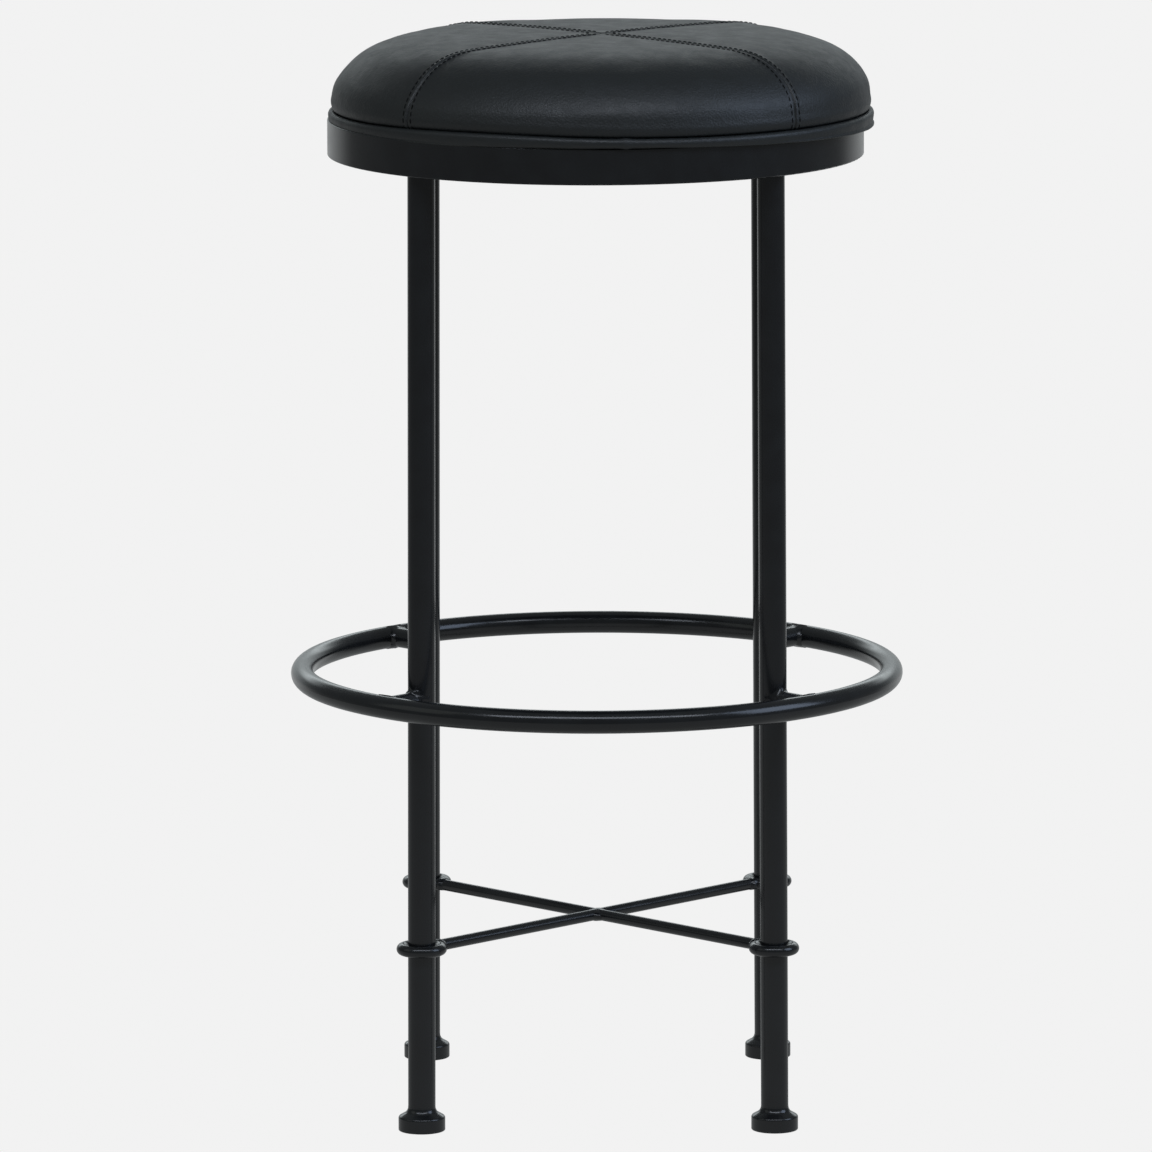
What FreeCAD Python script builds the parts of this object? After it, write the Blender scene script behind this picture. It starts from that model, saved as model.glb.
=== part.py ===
import FreeCAD, Part
import math
import os

# Round bar stool: a welded frame of four tube legs, a flat-bar hoop, a footrest ring and a
# crossed rod stretcher, carrying a leather-covered round seat pad that is screwed on from below.
# Millimetres. +Z is up, the origin is on the floor below the frame's centre, the front is -Y.

Vector = FreeCAD.Vector
up = Vector(0, 0, 1)

# Legs: four tubes on the corners of a square, leaning out by 3 mm towards the floor.
# An offset is the distance from a leg's axis to the X and Y planes.
leg_diameter = 19.05
leg_wall = 1.5
leg_floor_offset = 122.95
leg_top_offset = 119.9
leg_bottom = 12.0

# Turned foot under each leg, with a plastic glide let into its underside
foot_diameter = 32.6
foot_bottom = 0.5
foot_shoulder = 9.2
foot_edge_round = 2.0
foot_lower_round = 0.8
foot_weld_slope = math.radians(30)
foot_weld_radius = 11.6
foot_weld_waist = (10.2, 14.8)
foot_weld_top = 17.6
foot_weld_gap = 0.04
spigot_clearance = 0.1
spigot_top = 26.0
spigot_chamfer = 1.0
glide_diameter = 26.0
glide_thickness = 3.0
glide_chamfer = 0.6

# Hoop of flat bar round the outside of the leg tops
hoop_outer_radius = 187.3
hoop_thickness = 8.0
hoop_top = 695.5
hoop_height = 25.0
hoop_edge_round = 0.8

# Footrest: a tube bent to a ring, held off the legs by four short bars
ring_centre_radius = 207.35
ring_diameter = 15.9
ring_wall = 1.5
ring_height = 303.7
stub_diameter = 14.0

# Stretcher: crossed rods that end in rod rings closed round the legs
rod_diameter = 8.0
rod_height = 129.0
collar_gap = 0.02
rod_end_depth = 2.0

# Tabs inside the hoop, which the seat pad is screwed to
tab_width = 30.0
tab_thickness = 3.0
tab_inner_radius = 138.0
screw_circle_radius = 150.0
tab_hole_diameter = 6.6

# Seat pad: its axis stands a little to the right of the frame's
pad_offset = 3.8
welt_flange_thickness = 0.8
cover_thickness = 1.2
board_radius = 183.0
board_thickness = 12.0
pad_radius = 188.2
pad_groove_height = 701.9
pad_widest_height = 709.5
shoulder_width = 60.0
shoulder_rise = 43.5
crown_rise = 2.0
hem_inner_radius = 166.0
dust_cover_thickness = 0.4
dust_cover_gap = 0.5

# Welt round the bottom edge of the pad
welt_centre_radius = 187.4
welt_centre_height = 698.7
welt_diameter = 6.2
welt_cord_diameter = 3.8
welt_flange_inner_radius = 170.0
welt_flange_outer_radius = 186.5

# Fasteners
screw_diameter = 6.0
screw_top = 707.5
screw_head_diameter = 12.0
screw_head_height = 3.8
screw_head_round = 1.6
hex_key = 4.0
hex_depth = 2.2
washer_diameter = 12.5
washer_hole_diameter = 6.4
washer_thickness = 1.2
nut_barrel_diameter = 8.0
nut_barrel_length = 8.5
nut_flange_diameter = 19.0
nut_flange_thickness = 1.5
staple_circle_radius = 173.0
staple_crown = 10.0
staple_wire_width = 1.0
staple_wire_thickness = 0.6
staple_prong = 7.0
staple_angles = (12, 19, 26, 33)

# Sizes that follow from the ones above
leg_radius = leg_diameter / 2
leg_floor_radius = leg_floor_offset * math.sqrt(2)
leg_top_radius = leg_top_offset * math.sqrt(2)
hoop_inner_radius = hoop_outer_radius - hoop_thickness
ring_radius = ring_diameter / 2
rod_radius = rod_diameter / 2
collar_radius = leg_radius + rod_radius + collar_gap
welt_flange_top = hoop_top + welt_flange_thickness
board_bottom = welt_flange_top + cover_thickness
board_top = board_bottom + board_thickness
tab_bottom = hoop_top - tab_thickness
washer_bottom = tab_bottom - washer_thickness
cover_edge_radius = board_radius + cover_thickness

side_angles = {"right": 0, "back": 90, "left": 180, "front": 270}
diagonal_angles = {"front_left": 225, "front_right": 315, "back_left": 135, "back_right": 45}


def save(name, shape):
    shape.exportStep("parts/" + name + ".step")


def disc(radius, bottom, height, x=0.0, y=0.0):
    return Part.makeCylinder(radius, height, Vector(x, y, bottom))


def pipe(outer_radius, inner_radius, bottom, height, x=0.0, y=0.0):
    return disc(outer_radius, bottom, height, x, y).cut(disc(inner_radius, bottom, height, x, y))


def turned(edges, angle=360.0):
    # a solid turned about Z from a closed outline in the XZ plane
    return Part.Face(Part.Wire(edges)).revolve(Vector(0, 0, 0), up, angle)


def line(start, end):
    return Part.LineSegment(Vector(start[0], 0, start[1]), Vector(end[0], 0, end[1])).toShape()


def lines(points):
    return [line(a, b) for a, b in zip(points, points[1:])]


def arc(start, middle, end):
    through = [Vector(x, 0, z) for x, z in (start, middle, end)]
    return Part.Arc(*through).toShape()


def circle_arc(centre, radius, start_angle, end_angle):
    def at(angle):
        return (centre[0] + radius * math.cos(angle), centre[1] + radius * math.sin(angle))
    return arc(at(start_angle), at((start_angle + end_angle) / 2), at(end_angle))


def turned_to(shape, angle):
    turned_shape = shape.copy()
    turned_shape.rotate(Vector(0, 0, 0), up, angle)
    return turned_shape


def turned_point(point, angle):
    return FreeCAD.Rotation(up, angle).multVec(point)


def moved_out(shape, distance):
    moved = shape.copy()
    moved.translate(Vector(distance, 0, 0))
    return moved


def moved_to_pad(shape):
    return moved_out(shape, pad_offset)


# ---- frame: what belongs to a leg is made on +X and then turned to its corner ----

def leg_axis_radius(height):
    # how far the leg's axis stands from the stool's axis at a height
    return leg_floor_radius + (leg_top_radius - leg_floor_radius) * height / hoop_top


def make_leg_bar(radius):
    # a bar along the leg's leaning axis from the floor to past the hoop
    foot_point = Vector(leg_floor_radius, 0, 0)
    lean = Vector(leg_top_radius, 0, hoop_top) - foot_point
    return Part.makeCylinder(radius, lean.Length + leg_diameter, foot_point, lean)


def make_leg():
    level_ends = disc(leg_diameter, leg_bottom, hoop_top - leg_bottom, leg_floor_radius)
    return make_leg_bar(leg_radius).cut(make_leg_bar(leg_radius - leg_wall)).common(level_ends)


def make_foot():
    # a disc with rounded edges, a sloping bead of weld up the tube and a spigot inside the tube
    radius = foot_diameter / 2
    spigot = leg_radius - leg_wall - spigot_clearance
    lower_centre = (radius - foot_lower_round, foot_bottom + foot_lower_round)
    upper_centre = (radius - foot_edge_round, foot_shoulder)
    round_end = math.pi / 2 - foot_weld_slope
    bead_low = (
        upper_centre[0] + foot_edge_round * math.cos(round_end),
        upper_centre[1] + foot_edge_round * math.sin(round_end),
    )
    bead_rise = (bead_low[0] - foot_weld_radius) * math.tan(foot_weld_slope)
    bead_high = (foot_weld_radius, bead_low[1] + bead_rise)
    fillet_top = (leg_radius + foot_weld_gap, foot_weld_top)
    edges = lines([(0, foot_bottom), (lower_centre[0], foot_bottom)])
    edges.append(circle_arc(lower_centre, foot_lower_round, -math.pi / 2, 0))
    edges += lines([(radius, lower_centre[1]), (radius, foot_shoulder)])
    edges.append(circle_arc(upper_centre, foot_edge_round, 0, round_end))
    edges += lines([bead_low, bead_high])
    edges.append(arc(bead_high, foot_weld_waist, fillet_top))
    edges += lines([
        fillet_top,
        (leg_radius + foot_weld_gap, leg_bottom),
        (spigot, leg_bottom),
        (spigot, spigot_top - spigot_chamfer),
        (spigot - spigot_chamfer, spigot_top),
        (0, spigot_top),
        (0, foot_bottom),
    ])
    foot = turned(edges).cut(disc(glide_diameter / 2, foot_bottom, glide_thickness - foot_bottom))
    return moved_out(foot, leg_axis_radius(leg_bottom))


def make_glide():
    radius = glide_diameter / 2
    glide = turned(lines([
        (0, 0),
        (radius - glide_chamfer, 0),
        (radius, glide_chamfer),
        (radius, glide_thickness),
        (0, glide_thickness),
        (0, 0),
    ]))
    return moved_out(glide, leg_axis_radius(leg_bottom))


def make_level_bar(radius, start, end, height):
    # a bar along X from start to end
    return Part.makeCylinder(radius, end - start, Vector(start, 0, height), Vector(1, 0, 0))


def make_hoop():
    # flat bar rolled to a hoop, with its four long edges broken
    corners = [
        (hoop_outer_radius, hoop_top - hoop_height, -90),
        (hoop_outer_radius, hoop_top, 0),
        (hoop_inner_radius, hoop_top, 90),
        (hoop_inner_radius, hoop_top - hoop_height, 180),
    ]
    edges = []
    for x, z, start in corners:
        inward = -hoop_edge_round if x == hoop_outer_radius else hoop_edge_round
        level = -hoop_edge_round if z == hoop_top else hoop_edge_round
        turn = math.radians(start)
        edges.append(circle_arc((x + inward, z + level), hoop_edge_round, turn, turn + math.pi / 2))
    ends = [(edge.firstVertex().Point, edge.lastVertex().Point) for edge in edges]
    for (_, end), (start, _) in zip(ends, ends[1:] + ends[:1]):
        edges.append(Part.LineSegment(end, start).toShape())
    return turned(Part.__sortEdges__(edges))


def make_ring_bar(centre_radius, bar_radius, height, wall=0.0):
    bar = Part.makeTorus(centre_radius, bar_radius, Vector(0, 0, height), up)
    if wall:
        bar = bar.cut(Part.makeTorus(centre_radius, bar_radius - wall, Vector(0, 0, height), up))
    return bar


def make_stub():
    # a short bar from a leg to the footrest ring, its ends shaped to both tubes
    start = leg_axis_radius(ring_height)
    bar = make_level_bar(stub_diameter / 2, start, ring_centre_radius, ring_height)
    bar = bar.cut(make_leg_bar(leg_radius))
    return bar.cut(make_ring_bar(ring_centre_radius, ring_radius, ring_height))


def make_collar():
    return moved_out(make_ring_bar(collar_radius, rod_radius, rod_height), leg_axis_radius(rod_height))


def make_long_rod():
    reach = leg_axis_radius(rod_height) - collar_radius - rod_end_depth
    rod = make_level_bar(rod_radius, -reach, reach, rod_height)
    return rod.cut(make_collar()).cut(turned_to(make_collar(), 180))


def make_half_rod():
    reach = leg_axis_radius(rod_height) - collar_radius - rod_end_depth
    rod = make_level_bar(rod_radius, rod_end_depth, reach, rod_height).cut(make_collar())
    crossing_rod = make_level_bar(rod_radius, -reach, reach, rod_height)
    return rod.cut(turned_to(crossing_rod, 90))


def make_tab():
    # a flat plate along +X, rounded to the hoop at its outer end, with one screw hole
    length = hoop_outer_radius - tab_inner_radius
    plate = Part.makeBox(
        length, tab_width, tab_thickness, Vector(tab_inner_radius, -tab_width / 2, tab_bottom))
    plate = plate.common(disc(hoop_inner_radius, tab_bottom, tab_thickness))
    return plate.cut(disc(tab_hole_diameter / 2, tab_bottom, tab_thickness, screw_circle_radius))


# ---- seat pad: its cushion, cover and welt are made about its own axis and then moved to it ----

def cushion_side(inset):
    # the cushion's outline from its edge above the welt up and over to the axis, moved in by inset
    widest = pad_radius - inset
    groove_in = pad_radius - cover_edge_radius
    groove_rise = pad_widest_height - pad_groove_height
    belly_radius = (groove_in ** 2 + groove_rise ** 2) / (2 * groove_in)
    belly_centre = (pad_radius - belly_radius, pad_widest_height)
    edge_reach = cover_edge_radius - inset - belly_centre[0]
    edge_angle = -math.acos(edge_reach / (belly_radius - inset))
    edge_height = pad_widest_height + (belly_radius - inset) * math.sin(edge_angle)
    belly = circle_arc(belly_centre, belly_radius - inset, edge_angle, 0.0)

    # the ellipse is drawn with its long axis outwards, then cut to the upper outer quarter
    centre = Vector(pad_radius - shoulder_width, 0, pad_widest_height)
    shoulder_top = pad_widest_height + shoulder_rise - inset
    ellipse = Part.Ellipse(
        Vector(widest, 0, pad_widest_height), Vector(centre.x, 0, shoulder_top), centre)
    shoulder = Part.ArcOfEllipse(ellipse, 0.0, math.pi / 2).toShape()

    crown_radius = (centre.x ** 2 + crown_rise ** 2) / (2 * crown_rise)
    crown_centre = (0, shoulder_top + crown_rise - crown_radius)
    crown = circle_arc(crown_centre, crown_radius, math.acos(centre.x / crown_radius), math.pi / 2)
    return [belly, shoulder, crown], edge_height, shoulder_top + crown_rise


def make_cover():
    # one quarter of the leather cover: crown, side, and the hem turned under the board
    outside, outer_edge, outer_top = cushion_side(0.0)
    inside, inner_edge, inner_top = cushion_side(cover_thickness)
    edges = lines([
        (hem_inner_radius, welt_flange_top),
        (cover_edge_radius, welt_flange_top),
        (cover_edge_radius, outer_edge),
    ])
    edges += outside
    edges.append(line((0, outer_top), (0, inner_top)))
    edges += inside
    edges += lines([
        (board_radius, inner_edge),
        (board_radius, board_bottom),
        (hem_inner_radius, board_bottom),
        (hem_inner_radius, welt_flange_top),
    ])
    return turned(Part.__sortEdges__(edges), 90.0)


def make_foam():
    inside, inner_edge, inner_top = cushion_side(cover_thickness)
    edges = lines([(0, inner_top), (0, board_top), (board_radius, board_top), (board_radius, inner_edge)])
    return turned(Part.__sortEdges__(edges + inside))


def at_screws(shape):
    # four copies, one over each tab of the frame
    return [turned_to(shape, angle) for angle in side_angles.values()]


def make_screw():
    head_bottom = washer_bottom - screw_head_height
    head = disc(screw_head_diameter / 2, head_bottom, screw_head_height)
    rim = [edge for edge in head.Edges if edge.BoundBox.ZMax < head_bottom + screw_head_round]
    head = head.makeFillet(screw_head_round, rim)
    corner = Vector(hex_key / math.sqrt(3), 0, head_bottom)
    hexagon = Part.makePolygon([turned_point(corner, 60 * side) for side in range(7)])
    socket = Part.Face(hexagon).extrude(Vector(0, 0, hex_depth))
    shank = disc(screw_diameter / 2, washer_bottom, screw_top - washer_bottom)
    return moved_out(head.cut(socket).fuse(shank).removeSplitter(), screw_circle_radius)


def make_washer():
    outer_radius = washer_diameter / 2
    inner_radius = washer_hole_diameter / 2
    return pipe(outer_radius, inner_radius, washer_bottom, washer_thickness, screw_circle_radius)


def make_nut_blank():
    # the outside of a T-nut: a barrel under a round flange let in flush with the board's top
    flange_bottom = board_top - nut_flange_thickness
    flange = disc(nut_flange_diameter / 2, flange_bottom, nut_flange_thickness, screw_circle_radius)
    barrel_bottom = board_top - nut_barrel_length
    barrel = disc(nut_barrel_diameter / 2, barrel_bottom, nut_barrel_length, screw_circle_radius)
    return flange.fuse(barrel).removeSplitter()


def make_nut():
    barrel_bottom = board_top - nut_barrel_length
    return make_nut_blank().cut(
        disc(screw_diameter / 2, barrel_bottom, nut_barrel_length, screw_circle_radius))


def make_staple(angle):
    # a wire bridge lying along the rim under the welt's flange, with two prongs up into the board
    crown_bottom = hoop_top - staple_wire_thickness
    crown = Part.makeBox(
        staple_wire_width, staple_crown, staple_wire_thickness,
        Vector(staple_circle_radius, -staple_crown / 2, crown_bottom))
    for side in (-1, 1):
        edge = side * staple_crown / 2
        near = min(edge, edge - side * staple_wire_thickness)
        crown = crown.fuse(Part.makeBox(
            staple_wire_width, staple_wire_thickness, staple_prong,
            Vector(staple_circle_radius, near, crown_bottom)))
    return turned_to(crown.removeSplitter(), angle)


def make_board(staples):
    board = moved_to_pad(disc(board_radius, board_bottom, board_thickness))
    hole_depth = board_thickness - nut_flange_thickness
    clearance_hole = disc(nut_barrel_diameter / 2, board_bottom, hole_depth, screw_circle_radius)
    for cutter in at_screws(clearance_hole) + at_screws(make_nut_blank()):
        board = board.cut(cutter)
    return board.cut(staples)


def make_dust_cover():
    radius = hem_inner_radius - dust_cover_gap
    cloth_bottom = board_bottom - dust_cover_thickness
    cloth = moved_to_pad(disc(radius, cloth_bottom, dust_cover_thickness))
    hole = disc(tab_hole_diameter / 2, cloth_bottom, dust_cover_thickness, screw_circle_radius)
    for cutter in at_screws(hole):
        cloth = cloth.cut(cutter)
    return cloth


def make_welt():
    # leather folded round a cord, its two edges together as a flat flange under the board
    tube = make_ring_bar(welt_centre_radius, welt_diameter / 2, welt_centre_height)
    flange = pipe(welt_flange_outer_radius, welt_flange_inner_radius, hoop_top, welt_flange_thickness)
    return tube.fuse(flange).removeSplitter().cut(make_welt_cord())


def make_welt_cord():
    return make_ring_bar(welt_centre_radius, welt_cord_diameter / 2, welt_centre_height)


def build():
    save("seat_hoop", make_hoop())
    save("footrest_ring", make_ring_bar(ring_centre_radius, ring_radius, ring_height, ring_wall))

    for name, angle in diagonal_angles.items():
        save("leg_" + name, turned_to(make_leg(), angle))
        save("foot_" + name, turned_to(make_foot(), angle))
        save("glide_" + name, turned_to(make_glide(), angle))
        save("footrest_stub_" + name, turned_to(make_stub(), angle))
        save("stretcher_collar_" + name, turned_to(make_collar(), angle))

    save("stretcher_rod_long", turned_to(make_long_rod(), diagonal_angles["back_right"]))
    save("stretcher_rod_front", turned_to(make_half_rod(), diagonal_angles["front_right"]))
    save("stretcher_rod_back", turned_to(make_half_rod(), diagonal_angles["back_left"]))

    for name, angle in side_angles.items():
        save("seat_tab_" + name, turned_to(make_tab(), angle))

    save("seat_screws", Part.makeCompound(at_screws(make_screw())))
    save("seat_washers", Part.makeCompound(at_screws(make_washer())))
    save("t_nuts", Part.makeCompound(at_screws(make_nut())))

    staples = moved_to_pad(Part.makeCompound([
        make_staple(sector * 45 + angle) for sector in range(8) for angle in staple_angles
    ]))
    save("cover_staples", staples)
    save("seat_board", make_board(staples))
    save("dust_cover", make_dust_cover())
    save("seat_foam", moved_to_pad(make_foam()))
    for name, angle in side_angles.items():
        panel = moved_to_pad(turned_to(make_cover(), angle - 45))
        save("cover_panel_" + name, panel.cut(staples))
    save("welt_cover", moved_to_pad(make_welt()).cut(staples))
    save("welt_cord", moved_to_pad(make_welt_cord()))


os.makedirs("parts", exist_ok=True)
build()
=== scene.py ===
import math

import bmesh
import bpy
from mathutils import Matrix, Vector, noise
from mathutils.bvhtree import BVHTree


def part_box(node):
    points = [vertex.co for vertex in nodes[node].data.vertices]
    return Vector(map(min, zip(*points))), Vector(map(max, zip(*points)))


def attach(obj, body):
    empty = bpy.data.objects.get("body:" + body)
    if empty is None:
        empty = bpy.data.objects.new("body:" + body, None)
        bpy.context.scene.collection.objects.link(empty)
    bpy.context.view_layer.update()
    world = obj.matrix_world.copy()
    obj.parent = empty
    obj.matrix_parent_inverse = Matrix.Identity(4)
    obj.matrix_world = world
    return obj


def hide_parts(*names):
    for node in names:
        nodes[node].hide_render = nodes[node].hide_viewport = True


# Round bar stool: black powder-coated tube frame, black leather pad sewn from four wedges.
# Metres, floor at z 0, front towards -Y, the same frame as the CAD parts.

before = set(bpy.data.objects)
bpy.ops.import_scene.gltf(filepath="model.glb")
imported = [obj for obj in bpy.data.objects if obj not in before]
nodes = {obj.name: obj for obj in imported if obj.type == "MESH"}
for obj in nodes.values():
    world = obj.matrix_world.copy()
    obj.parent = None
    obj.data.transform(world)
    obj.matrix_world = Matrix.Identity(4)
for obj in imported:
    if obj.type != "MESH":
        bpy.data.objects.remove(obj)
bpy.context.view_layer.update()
mm = 0.001
print("frame loaded:", len(nodes), "CAD nodes")


def hexToLinear(colour):
    channels = [int(colour[i:i + 2], 16) / 255 for i in (1, 3, 5)]
    linear = [c / 12.92 if c <= 0.04045 else ((c + 0.055) / 1.055) ** 2.4 for c in channels]
    return (*linear, 1.0)


def addNode(tree, kind, settings=None, links=None):
    # a setting goes to the node's property of that name, or else to its socket of that name or number
    made = tree.nodes.new(kind)
    properties = {k: v for k, v in (settings or {}).items() if hasattr(made, str(k))}
    for name, value in properties.items():
        setattr(made, name, value)
    for name, value in (settings or {}).items():
        if name not in properties:
            made.inputs[name].default_value = value
    for name, socket in (links or {}).items():
        tree.links.new(socket, made.inputs[name])
    return made


def newMaterial(name):
    material = bpy.data.materials.new(name)
    material.use_nodes = True
    material.node_tree.nodes.clear()
    return material, material.node_tree


def finishPiece(bm, name, material, smoothAngle=None):
    # a mesh becomes a piece of the object: shaded smooth, riding on the frame
    mesh = bpy.data.meshes.new(name)
    bm.to_mesh(mesh)
    bm.free()
    piece = bpy.data.objects.new(name, mesh)
    bpy.context.scene.collection.objects.link(piece)
    mesh.polygons.foreach_set("use_smooth", [True] * len(mesh.polygons))
    if smoothAngle:
        mesh.set_sharp_from_angle(angle=smoothAngle)
    mesh.materials.append(material)
    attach(piece, "root")
    return piece


def bakeModifiers(piece):
    # swaps a piece's mesh for what its modifiers make of it
    bpy.context.view_layer.update()
    evaluated = piece.evaluated_get(bpy.context.evaluated_depsgraph_get())
    baked = bpy.data.meshes.new_from_object(evaluated)
    piece.modifiers.clear()
    old = piece.data
    piece.data = baked
    bpy.data.meshes.remove(old)


def smoothStep(low, high, value):
    t = min(1, max(0, (value - low) / (high - low)))
    return t * t * (3 - 2 * t)


def powderCoat():
    # Black powder coat, semi-gloss, sprayed and oven-cured over welded steel.
    # Gives a deep charcoal with soft stretched highlights and a faint orange peel.
    # The peel is 1.6 mm across, and the gloss drifts slowly over about 18 mm.
    material, tree = newMaterial("powder_coat_black_semi_gloss")
    place = addNode(tree, "ShaderNodeTexCoord")
    peel = addNode(tree, "ShaderNodeTexNoise", {"Scale": 620, "Detail": 1.5},
                   {"Vector": place.outputs["Object"]})
    flow = addNode(tree, "ShaderNodeTexNoise", {"Scale": 55, "Detail": 2},
                   {"Vector": place.outputs["Object"]})
    tint = addNode(tree, "ShaderNodeMapRange",
                   {"From Min": 0.3, "From Max": 0.7, "To Min": 0, "To Max": 1},
                   {"Value": flow.outputs["Fac"]})
    colour = addNode(tree, "ShaderNodeMix",
                     {"data_type": "RGBA", 6: hexToLinear("#17181a"), 7: hexToLinear("#1b1d1f")},
                     {0: tint.outputs["Result"]})
    gloss = addNode(tree, "ShaderNodeMapRange",
                    {"From Min": 0.3, "From Max": 0.7, "To Min": 0.17, "To Max": 0.22},
                    {"Value": flow.outputs["Fac"]})
    bump = addNode(tree, "ShaderNodeBump", {"Strength": 0.06, "Distance": 0.03 * mm},
                   {"Height": peel.outputs["Fac"]})
    shader = addNode(tree, "ShaderNodeBsdfPrincipled", {"IOR": 1.5},
                     {"Base Color": colour.outputs[2], "Roughness": gloss.outputs["Result"],
                      "Normal": bump.outputs["Normal"]})
    addNode(tree, "ShaderNodeOutputMaterial", {}, {"Surface": shader.outputs["BSDF"]})
    return material


def coverLeather():
    # Corrected-grain upholstery leather, drum-dyed black with a satin pigment coat.
    # Gives a soft dark grey with a fine pebble grain and a broad satin sheen.
    # Pebbles are 1.6 mm, coarser than the real 0.8 mm so that they show, with 0.6 mm pores.
    # Handling marks are 14 mm across and change the gloss more than the colour.
    material, tree = newMaterial("upholstery_leather_black_satin")
    place = addNode(tree, "ShaderNodeTexCoord")
    warp = addNode(tree, "ShaderNodeTexNoise", {"Scale": 90, "Detail": 2},
                   {"Vector": place.outputs["Object"]})
    bent = addNode(tree, "ShaderNodeVectorMath",
                   {"operation": "MULTIPLY_ADD", 1: (0.004, 0.004, 0.004)},
                   {0: warp.outputs["Color"], 2: place.outputs["Object"]})
    pebble = addNode(tree, "ShaderNodeTexVoronoi",
                     {"feature": "SMOOTH_F1", "Scale": 620, "Smoothness": 0.35},
                     {"Vector": bent.outputs[0]})
    pores = addNode(tree, "ShaderNodeTexNoise", {"Scale": 1800, "Detail": 2},
                    {"Vector": place.outputs["Object"]})
    grain = addNode(tree, "ShaderNodeMath", {"operation": "MULTIPLY_ADD", 1: 0.35},
                    {0: pores.outputs["Fac"], 2: pebble.outputs["Distance"]})
    handling = addNode(tree, "ShaderNodeTexNoise", {"Scale": 70, "Detail": 6, "Roughness": 0.75},
                       {"Vector": place.outputs["Object"]})
    colour = addNode(tree, "ShaderNodeMix",
                     {"data_type": "RGBA", 6: hexToLinear("#101314"), 7: hexToLinear("#161b1d")},
                     {0: handling.outputs["Fac"]})
    gloss = addNode(tree, "ShaderNodeMapRange",
                    {"From Min": 0.35, "From Max": 0.65, "To Min": 0.45, "To Max": 0.56},
                    {"Value": handling.outputs["Fac"]})
    bump = addNode(tree, "ShaderNodeBump", {"Strength": 0.7, "Distance": 0.2 * mm},
                   {"Height": grain.outputs[0]})
    shader = addNode(tree, "ShaderNodeBsdfPrincipled", {"IOR": 1.56},
                     {"Base Color": colour.outputs[2], "Roughness": gloss.outputs["Result"],
                      "Normal": bump.outputs["Normal"]})
    addNode(tree, "ShaderNodeOutputMaterial", {}, {"Surface": shader.outputs["BSDF"]})
    return material


def sewingThread():
    # Bonded polyester upholstery thread, black, three-ply twist.
    # Gives small matt dashes a little darker than the leather. A twist shows every 0.4 mm.
    material, tree = newMaterial("bonded_polyester_thread_black")
    place = addNode(tree, "ShaderNodeTexCoord")
    ply = addNode(tree, "ShaderNodeTexNoise", {"Scale": 2500, "Detail": 1},
                  {"Vector": place.outputs["Object"]})
    colour = addNode(tree, "ShaderNodeMix",
                     {"data_type": "RGBA", 6: hexToLinear("#070707"), 7: hexToLinear("#121212")},
                     {0: ply.outputs["Fac"]})
    bump = addNode(tree, "ShaderNodeBump", {"Strength": 0.5, "Distance": 0.1 * mm},
                   {"Height": ply.outputs["Fac"]})
    shader = addNode(tree, "ShaderNodeBsdfPrincipled",
                     {"IOR": 1.5, "Roughness": 0.8, "Specular IOR Level": 0.2},
                     {"Base Color": colour.outputs[2], "Normal": bump.outputs["Normal"]})
    addNode(tree, "ShaderNodeOutputMaterial", {}, {"Surface": shader.outputs["BSDF"]})
    return material


def dustCloth():
    # Spunbond polypropylene dust cover, black, point-bonded every 1.6 mm.
    # Gives a flat matt cloth with a small regular dimple and 1.1 mm clumps of fibre.
    material, tree = newMaterial("spunbond_polypropylene_black")
    place = addNode(tree, "ShaderNodeTexCoord")
    turned = addNode(tree, "ShaderNodeMapping", {"Rotation": (0, 0, math.radians(45))},
                     {"Vector": place.outputs["Object"]})
    dots = addNode(tree, "ShaderNodeTexVoronoi",
                   {"feature": "F1", "voronoi_dimensions": "2D", "Scale": 625, "Randomness": 0.05},
                   {"Vector": turned.outputs["Vector"]})
    pressed = addNode(tree, "ShaderNodeMapRange",
                      {"From Min": 0.15, "From Max": 0.4, "To Min": 0, "To Max": 1},
                      {"Value": dots.outputs["Distance"]})
    fibres = addNode(tree, "ShaderNodeTexNoise", {"Scale": 900, "Detail": 4},
                     {"Vector": place.outputs["Object"]})
    colour = addNode(tree, "ShaderNodeMix",
                     {"data_type": "RGBA", 6: hexToLinear("#121213"), 7: hexToLinear("#242526")},
                     {0: fibres.outputs["Fac"]})
    bump = addNode(tree, "ShaderNodeBump", {"Strength": 0.6, "Distance": 0.2 * mm},
                   {"Height": pressed.outputs["Result"]})
    shader = addNode(tree, "ShaderNodeBsdfPrincipled", {"IOR": 1.49, "Roughness": 0.85},
                     {"Base Color": colour.outputs[2], "Normal": bump.outputs["Normal"]})
    addNode(tree, "ShaderNodeOutputMaterial", {}, {"Surface": shader.outputs["BSDF"]})
    return material


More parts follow.
